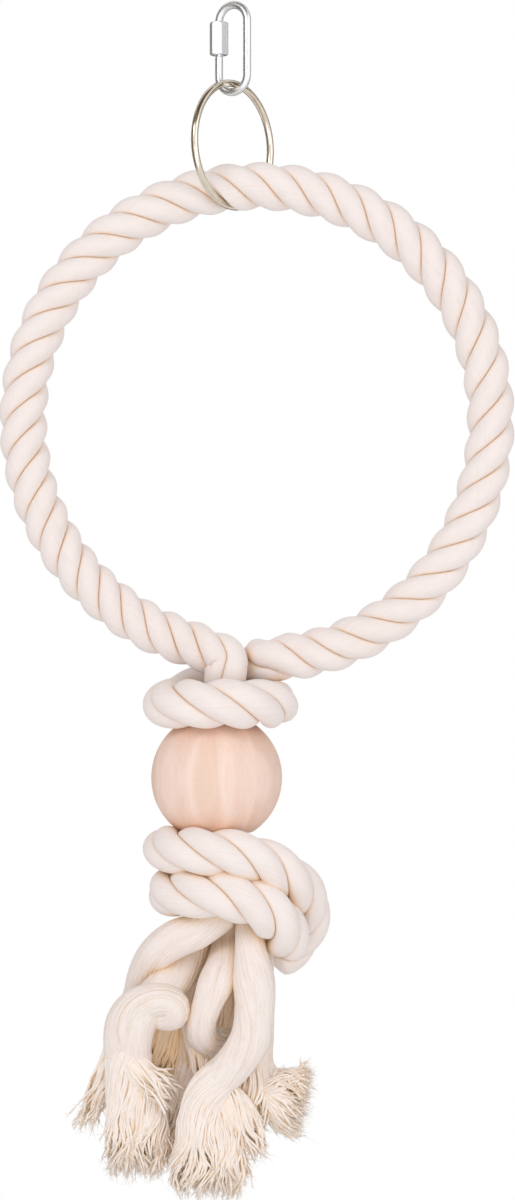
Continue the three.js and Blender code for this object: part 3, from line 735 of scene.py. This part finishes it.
    # Painted shade on the core, which shows between the yarns
    grooves.append(np.full(len(core) * CORE_SIDES, 0.3 + 0.5 * painted_shade))
    ids.append(np.zeros(len(core) * CORE_SIDES))
    return parts, grooves, ids


def fray(number, strand_line, brushes):
    """The frayed end of a strand, as one piece of all its brushes"""
    vertices, faces, grooves, ids = [], [], [], []
    count = 0
    for settings in brushes:
        parts, more_grooves, more_ids = brush(strand_line, **settings)
        for points, part_faces in parts:
            faces += [tuple(v + count for v in f) for f in part_faces]
            vertices.append(points)
            count += len(points)
        grooves += more_grooves
        ids += more_ids
    vertices, ids = np.vstack(vertices), np.concatenate(ids)
    piece = add_mesh(
        f"fray_{number}", vertices, faces,
        yarn=ids * YARN_GAP * MM, along=vertices[:, 2] * MM, groove=np.concatenate(grooves), strand=ids,
    )
    finish_piece(piece, "pendant", "cotton_fray", FRAY, f"tuft_{number}")
    return piece


fold_rows = np.column_stack([places(KNOT_ANCHOR, FOLD)[:, :3], np.array(FOLD)[:, 3:]])
fold, _ = strand("fold_2", fold_rows, 7, 0)
finish_piece(fold, "pendant", "cotton_strand", STRAND)
for i, (shares, shape) in enumerate(zip(TAILS, TAIL_SHAPES)):
    strand_piece, strand_line = tail(i + 1, shares, shape)
    fray_piece = fray(i + 1, strand_line, BRUSHES[i])

# The rope: one run from the end of the left rope in the knot, round the hoop, to the right rope's end
HOOP_PLACES = 34
HOOP_START = -17
HOOP_END = 7
SECTION_POINTS = 30
ROPE_STEP = 1.25
SEAM_GAP = -0.045
CORE_ROOM = 0.245
CREST_CENTRE = 0.36
SHARPNESS = 8
BEND_ROOM = 0.85
TWIST_START = math.radians(20)
ROPE_END = 4
GIRTH_SMOOTHING = 9
# The ring's groove: how far from the ring's lowest point it reaches, its room round the wire, the swings that
# it leaves room for, and the shares of its radius that the rope may be pressed to
GROOVE_REACH = 22
GROOVE_ROOM = 0.3
RING_SWINGS = np.radians(np.linspace(-25, 25, 9))
PRESS_SHARES = np.linspace(1, 0.45, 56)


def leg(side):
    """Rows down the bore for the leg at the front (-1) or at the back (1)"""
    heights = (BEAD_CENTRE[2], BEAD_CENTRE[2] - BEAD_HALF_HEIGHT)
    return np.array([[BEAD_CENTRE[0], side * LEG_OFFSET, z, LEG_GIRTH] for z in heights])


def laid(rows, lay):
    """Rows with the length of one turn of the strands as a last column"""
    return np.column_stack([rows, np.broadcast_to(np.asarray(lay, float), len(rows))])


def rope_rows():
    """Place, girth and lay along the whole rope"""
    sweep = HOOP_START + 360 - HOOP_END
    degrees = HOOP_START - sweep * np.arange(HOOP_PLACES + 1) / HOOP_PLACES
    angles = np.radians(degrees)
    from_sag = np.clip((degrees + 360 - SAG_ANGLE) / SAG_SPAN, -1, 1)
    radii = HOOP_RADIUS + SAG * np.cos(from_sag * math.pi / 2) ** 2
    arc = HOOP_CENTRE + radii[:, None] * np.column_stack([np.sin(angles), 0 * angles, -np.cos(angles)])
    lays = np.interp(degrees, *zip(*HOOP_LAYS))
    hoop = np.column_stack([arc, np.full(len(arc), HOOP_GIRTH), lays])
    neck = laid(places(NECK_ANCHOR, NECK), NECK_LAYS)
    left = np.vstack([
        laid(places(NECK_ANCHOR, LEFT_DIVE), LEFT_LEG_LAY),
        laid(leg(-1), LEFT_LEG_LAY),
        laid(places(KNOT_ANCHOR, LEFT_KNOT), KNOT_LAY),
    ])
    right = np.vstack([
        laid(places(NECK_ANCHOR, COLLAR), COLLAR_LAYS),
        laid(leg(1), LEG_LAY),
        laid(places(KNOT_ANCHOR, RIGHT_KNOT), KNOT_LAY),
    ])
    return np.vstack([left[::-1], neck, hoop, right])


def strand_section():
    """One strand's outline in a rope of radius 1, its crest along x, and how far in a seam each point is"""
    centre = np.array([0.52, 0.0])
    bearings = np.linspace(0, 2 * math.pi, SECTION_POINTS, endpoint=False)
    u = np.column_stack([np.cos(bearings), np.sin(bearings)])
    crest = np.array([CREST_CENTRE, 0.0])
    b = u @ (centre - crest)
    outer = -b + np.sqrt(b**2 + (1 - CREST_CENTRE) ** 2 - np.sum((centre - crest) ** 2))
    reaches = [outer]
    for sign in (1, -1):
        inward = np.array([math.sin(math.pi / 3), -sign * math.cos(math.pi / 3)])
        reaches.append((centre @ inward - SEAM_GAP) / np.maximum(-(u @ inward), 1e-6))
    reaches.append((centre[0] - CORE_ROOM) / np.maximum(-u[:, 0], 1e-6))
    weights = np.array([r ** -float(SHARPNESS) for r in reaches])
    total = weights.sum(axis=0)
    points = centre + u * (total ** (-1 / SHARPNESS))[:, None]
    return points, weights[1:].sum(axis=0) / total


def ring_frames(swing):
    """Centre and axes of the ring as the hoop sees it when it has swung"""
    along = np.array([math.cos(RING_TURN), math.sin(RING_TURN), 0])
    up = np.array([0, 0, 1.0])
    out = np.cross(along, up)
    tipped = math.cos(swing) * up + math.sin(swing) * out
    bottom = RING_CENTRE - RING_CENTRE_RADIUS * up
    return bottom + RING_CENTRE_RADIUS * tipped, along, tipped


def press_ring(vertices, centres):
    """Opens a groove in the rope where the ring's wire lies and swings"""
    near = np.linalg.norm(vertices - (RING_CENTRE - [0, 0, RING_CENTRE_RADIUS]), axis=1) < GROOVE_REACH
    v, c = vertices[near], centres[near]
    best = np.ones(len(v))
    for swing in RING_SWINGS:
        centre, along, tipped = ring_frames(swing)
        out = np.cross(along, tipped)
        for share in PRESS_SHARES:
            p = c + (v - c) * share - centre
            flat = np.hypot(p @ along, p @ tipped) - RING_CENTRE_RADIUS
            clear = np.hypot(flat, p @ out) - (RING_WIRE_RADIUS + GROOVE_ROOM)
            best = np.where(clear < 0, np.minimum(best, share), best)
    vertices[near] = c + (v - c) * best[:, None]
    return vertices


rope_line, rope_run = spline(rope_rows(), ROPE_STEP)
kernel = np.hanning(GIRTH_SMOOTHING)[1:-1]
kernel /= kernel.sum()
padded_girth = np.pad(rope_line[:, 3], len(kernel) // 2, mode="edge")
girth = np.convolve(padded_girth, kernel, mode="valid") * ROPE_RADIUS
rope_tangents, rope_normals, rope_binormals = frames(rope_line[:, :3], (0.1, -1, 0.1))
step_run = np.gradient(rope_run)
# In a tight bend the rope is pressed flat on the inside, so that it doesn't run through itself
bends = np.gradient(rope_tangents, axis=0) / step_run[:, None]
tightness = np.linalg.norm(bends, axis=1)[:, None] + 1e-9
inwards = bends / tightness
twist = TWIST_START + 2 * math.pi * np.cumsum(step_run / rope_line[:, 4])
section, seam = strand_section()
section_angle = np.arctan2(section[:, 1], section[:, 0])
rounding = np.sqrt(np.clip(np.minimum(rope_run, rope_run[-1] - rope_run) / ROPE_END, 0.02, 1))
size = (girth * rounding)[:, None, None]
for k in range(3):
    angle = twist + 2 * math.pi * k / 3
    x = section[None, :, 0] * np.cos(angle)[:, None] - section[None, :, 1] * np.sin(angle)[:, None]
    y = section[None, :, 0] * np.sin(angle)[:, None] + section[None, :, 1] * np.cos(angle)[:, None]
    offset = (x[..., None] * rope_normals[:, None] + y[..., None] * rope_binormals[:, None]) * size
    inner = np.einsum("ijk,ik->ij", offset, inwards)
    offset -= np.clip(inner - BEND_ROOM / tightness, 0, None)[..., None] * inwards[:, None]
    vertices = rope_line[:, None, :3] + offset
    centres = np.broadcast_to(rope_line[:, None, :3], vertices.shape).reshape(-1, 3)
    vertices = press_ring(vertices.reshape(-1, 3).copy(), centres)
    spread = np.broadcast_to(section_angle[None, :] + angle[:, None], x.shape)
    # The seams between the strands carry painted shade, through the groove attribute
    piece = add_mesh(
        f"laid_strand_{k + 1}", vertices, tube_faces(len(rope_line), SECTION_POINTS),
        yarn=spread * ROPE_RADIUS * MM, along=np.broadcast_to(rope_run[:, None], x.shape) * MM,
        groove=np.broadcast_to(seam[None, :], x.shape), strand=np.full(x.shape, 3.7 * k),
    )
    finish_piece(piece, None, "cotton_rope", ROPE, "rope_hoop", "rope_right", "rope_left")
    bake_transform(piece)


def turned(name, profile, sides, place):
    """A closed profile of radius and height turned round an upright axis"""
    radii, heights = np.array(profile).T
    angles = np.linspace(0, 2 * math.pi, sides, endpoint=False)
    rings = [np.column_stack([radii * math.cos(a), radii * math.sin(a), heights]) for a in angles]
    vertices = np.vstack(rings) + place
    return add_mesh(name, vertices, tube_faces(sides, len(profile), closed=True))


def bead():
    """The wooden ball with its flat faces and its bore"""
    reach = math.asin(BEAD_HALF_HEIGHT / BEAD_RADIUS)
    lip = 0.9
    bearings = np.linspace(-reach + 0.03, reach - 0.03, 49)
    arc = [(BEAD_RADIUS * math.cos(a), BEAD_RADIUS * math.sin(a)) for a in bearings]
    face = BEAD_RADIUS * math.cos(reach)
    top = [
        (face - 0.35, BEAD_HALF_HEIGHT - 0.06),
        (face - 1, BEAD_HALF_HEIGHT),
        (BEAD_BORE_RADIUS + lip, BEAD_HALF_HEIGHT),
        (BEAD_BORE_RADIUS + 0.3 * lip, BEAD_HALF_HEIGHT - 0.25 * lip),
        (BEAD_BORE_RADIUS, BEAD_HALF_HEIGHT - lip),
    ]
    bottom = [(r, -z) for r, z in reversed(top)]
    piece = turned("wood_bead", arc + top + bottom, 120, BEAD_CENTRE)
    finish_piece(piece, "bead", "bare_beech", BEECH, "bead")


def round_ring():
    """The steel ring, where it hangs at rest"""
    centre, along, up = ring_frames(0)
    out = np.cross(along, up)
    steps, sides = 160, 20
    vertices = []
    for a in np.linspace(0, 2 * math.pi, steps, endpoint=False):
        radial = math.cos(a) * along + math.sin(a) * up
        for b in np.linspace(0, 2 * math.pi, sides, endpoint=False):
            reach = RING_CENTRE_RADIUS + RING_WIRE_RADIUS * math.cos(b)
            vertices.append(centre + radial * reach + out * RING_WIRE_RADIUS * math.sin(b))
    piece = add_mesh("wire_ring", vertices, tube_faces(steps, sides, closed=True))
    finish_piece(piece, "steel_ring", "nickel_plate", NICKEL, "o_ring")


MOUTH_DROP = 6.9
MOUTH_HEIGHT = 5.3
NUT_DROP = 4.6
NUT_LENGTH = 13.1
NUT_FLATS = 6.6
NUT_END = 1.4
NUT_CREST_SHARE = 0.985
NUT_CONE_DROP = 0.95
NUT_CONE_RISE = 1.15
NUT_CONE_LENGTH = 1.2
BORE_ROOM = 0.12
BORE_FLARE = 0.35
BORE_FLARE_DEPTH = 0.4
NUT_TURN = math.radians(19)
THREAD_PITCH = 0.7
THREAD_DEPTH = 0.13
UPPER_BOW = LINK_WIRE_RADIUS - LINK_ARM_OFFSET
LOWER_BOW = 2 * LINK_WIRE_RADIUS - LINK_HEIGHT + LINK_WIRE_RADIUS + LINK_ARM_OFFSET


def turn_link(points):
    """Points of the link's own plane, turned to where the link hangs"""
    c, s = math.cos(LINK_TURN), math.sin(LINK_TURN)
    p = np.asarray(points, float)
    return np.column_stack([p[:, 0] * c - p[:, 1] * s, p[:, 0] * s + p[:, 1] * c, p[:, 2]])


def link_line():
    """Places along the wire in the link's own plane, from the mouth's lower end round to its upper end"""
    r = LINK_ARM_OFFSET
    lower_end, upper_end = -MOUTH_DROP - MOUTH_HEIGHT, -MOUTH_DROP
    line = [(-r, z) for z in np.arange(lower_end, LOWER_BOW, -0.25)]
    line += [(r * math.cos(a), LOWER_BOW + r * math.sin(a)) for a in np.linspace(math.pi, 2 * math.pi, 56)]
    line += [(r, z) for z in np.arange(LOWER_BOW, UPPER_BOW, 0.5)[1:]]
    line += [(r * math.cos(a), UPPER_BOW + r * math.sin(a)) for a in np.linspace(0, math.pi, 56)]
    line += [(-r, z) for z in np.arange(UPPER_BOW, upper_end, -0.12)[1:]]
    return np.array([(x, 0, z) for x, z in line])


def link_body():
    """The link's bent wire, with its thread below and above the mouth"""
    points = link_line()
    tangents, normals, binormals = frames(points, (0, 1, 0))
    sides = 24
    angles = np.linspace(0, 2 * math.pi, sides, endpoint=False)
    on_left = points[:, 0] < -LINK_ARM_OFFSET + 0.02
    threaded = on_left & (points[:, 2] > -MOUTH_DROP - 0.1) & (points[:, 2] < UPPER_BOW + 0.8)
    threaded |= on_left & (points[:, 2] < -MOUTH_DROP - 1) & (points[:, 2] > -NUT_DROP - NUT_LENGTH - 1)
    radius = np.full((len(points), sides), LINK_WIRE_RADIUS)
    helix = np.cos(2 * math.pi * points[:, 2:3] / THREAD_PITCH + angles[None, :])
    radius = np.where(threaded[:, None], LINK_WIRE_RADIUS - THREAD_DEPTH + THREAD_DEPTH * helix, radius)
    cosines, sines = np.cos(angles)[None, :, None], np.sin(angles)[None, :, None]
    vertices = points[:, None] + radius[..., None] * (cosines * normals[:, None] + sines * binormals[:, None])
    piece = add_mesh("link_wire", turn_link(vertices.reshape(-1, 3)), tube_faces(len(points), sides))
    finish_piece(piece, "quick_link", "zinc_plate", ZINC, "link_body")


def link_nut():
    """A hexagonal sleeve with its ends turned to a cone and a chamfered bore"""
    crest = NUT_FLATS / math.sqrt(3)
    per_flat = 12
    sides = 6 * per_flat
    middle = np.linspace(NUT_END, NUT_LENGTH - NUT_END, 6)[1:-1]
    top = np.linspace(NUT_LENGTH - NUT_END, NUT_LENGTH, 12)
    heights = np.concatenate([np.linspace(0, NUT_END, 12), middle, top])
    angles = np.linspace(0, 2 * math.pi, sides, endpoint=False)
    to_flat = (angles % (math.pi / 3)) - math.pi / 6
    hexagon = NUT_FLATS / 2 / np.cos(to_flat)
    hexagon = np.minimum(hexagon, crest * NUT_CREST_SHARE)
    bore = LINK_WIRE_RADIUS + BORE_ROOM
    rings = []
    for z in heights:
        end = min(z, NUT_LENGTH - z)
        cone = crest - NUT_CONE_DROP + NUT_CONE_RISE * math.sqrt(min(end / NUT_CONE_LENGTH, 1))
        reach = np.minimum(hexagon, cone)
        rings.append(np.column_stack([reach * np.cos(angles), reach * np.sin(angles), np.full(sides, z)]))
    flare = bore + BORE_FLARE
    bore_rings = [
        (NUT_LENGTH, flare), (NUT_LENGTH - BORE_FLARE_DEPTH, bore),
        (BORE_FLARE_DEPTH, bore), (0, flare),
    ]
    for z, r in bore_rings:
        rings.append(np.column_stack([r * np.cos(angles), r * np.sin(angles), np.full(sides, z)]))
    c, s = math.cos(NUT_TURN), math.sin(NUT_TURN)
    v = np.vstack(rings)
    v = np.column_stack([v[:, 0] * c - v[:, 1] * s, v[:, 0] * s + v[:, 1] * c, v[:, 2]])
    v += [-LINK_ARM_OFFSET, 0, -NUT_DROP - NUT_LENGTH]
    piece = add_mesh("sleeve_nut", turn_link(v), tube_faces(len(rings), sides, closed=True))
    piece.data.set_sharp_from_angle(angle=math.radians(24))
    finish_piece(piece, "link_nut", "zinc_plate", ZINC, "link_nut")


bead()
round_ring()
link_body()
link_nut()
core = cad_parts["hoop_core"]
core.data.materials.clear()
core.data.materials.append(CORE)

# Floor, backdrop and light
FLOOR_DROP = -640
FLOOR_RADIUS = 1000
FLOOR_SIDES = 96


def seen_ray(tree):
    """1 for rays that come from the camera, also through a mirror, and 0 for rays that light something"""
    rays = node(tree, "ShaderNodeLightPath").outputs
    mirrored = maths(tree, "MAXIMUM", rays["Is Glossy Ray"], rays["Is Transmission Ray"])
    return maths(tree, "MAXIMUM", rays["Is Camera Ray"], mirrored)


turns = np.linspace(0, 2 * math.pi, FLOOR_SIDES, endpoint=False)
disc = [(FLOOR_RADIUS * math.cos(a), FLOOR_RADIUS * math.sin(a), FLOOR_DROP) for a in turns]
floor = add_mesh("floor", disc, [tuple(range(FLOOR_SIDES))], smooth=False)
floor_material, tree = new_material("pale_floor")
place = node(tree, "ShaderNodeTexCoord").outputs["Object"]
flat = node(tree, "ShaderNodeVectorMath", {0: place, 1: (1, 1, 0)}, operation="MULTIPLY").outputs[0]
distance = node(tree, "ShaderNodeVectorMath", {0: flat}, operation="LENGTH").outputs["Value"]
edge = node(tree, "ShaderNodeMapRange", {
    "Value": distance, "From Min": 0.35, "From Max": 0.98, "To Min": 0, "To Max": 1,
}).outputs["Result"]
whiteness = maths(tree, "ADD", maths(tree, "MULTIPLY", edge, 0.5), 0.5)
share = maths(tree, "MULTIPLY", seen_ray(tree), whiteness)
matt = node(tree, "ShaderNodeBsdfDiffuse", {"Color": (0.88, 0.88, 0.88, 1)})
glow = node(tree, "ShaderNodeEmission", {"Color": (1, 1, 1, 1), "Strength": 1.0})
blended = node(tree, "ShaderNodeMixShader", {0: share, 1: matt.outputs[0], 2: glow.outputs[0]})
node(tree, "ShaderNodeOutputMaterial", {"Surface": blended.outputs[0]})
floor.data.materials.append(floor_material)

world = bpy.data.worlds.new("studio")
bpy.context.scene.world = world
world.use_nodes = True
tree = world.node_tree
tree.nodes.clear()
strength = maths(tree, "ADD", maths(tree, "MULTIPLY", seen_ray(tree), 0.36), 0.64)
background = node(tree, "ShaderNodeBackground", {"Color": (1, 1, 1, 1), "Strength": strength})
node(tree, "ShaderNodeOutputWorld", {"Surface": background.outputs[0]})


def area_light(name, place, aim, size, power):
    """A round lamp, with its places and its size in metres"""
    data = bpy.data.lights.new(name, "AREA")
    data.shape = "DISK"
    data.size = size
    data.energy = power
    lamp = bpy.data.objects.new(name, data)
    lamp.location = place
    lamp.rotation_euler = (Vector(aim) - Vector(place)).to_track_quat("-Z", "Y").to_euler()
    bpy.context.scene.collection.objects.link(lamp)


def dark_card(name, corners):
    """A dark card off to one side that only the metal's reflections see"""
    card = add_mesh(name, corners, [(0, 1, 2, 3)], smooth=False)
    material, tree = new_material(name)
    matt = node(tree, "ShaderNodeBsdfDiffuse", {"Color": (0.2, 0.165, 0.125, 1)})
    node(tree, "ShaderNodeOutputMaterial", {"Surface": matt.outputs[0]})
    card.data.materials.append(material)
    card.visible_camera = False
    card.visible_diffuse = False
    card.visible_shadow = False
    card.visible_transmission = False


dark_card("card_above", [(-700, -800, 420), (500, -800, 420), (500, 100, 760), (-700, 100, 760)])
dark_card("card_left", [(-620, -420, -500), (-620, 300, -500), (-620, 300, 500), (-620, -420, 500)])
dark_card("card_right", [(620, 80, -500), (620, 300, -500), (620, 300, 500), (620, 80, 500)])
dark_card("card_behind", [(-700, 620, -600), (700, 620, -600), (700, 620, 600), (-700, 620, 600)])
MIDDLE = (0, 0, -0.22)
area_light("key", (-0.9, -1.3, 0.75), MIDDLE, 0.9, 7)
area_light("fill", (1.3, -1.1, 0.2), MIDDLE, 1.1, 3.5)
area_light("back", (0.3, 1.4, 0.6), MIDDLE, 1.0, 4)
area_light("low", (0.1, -1.35, -0.58), (0, 0, -0.4), 0.9, 5)

bpy.context.scene.view_settings.view_transform = "Standard"
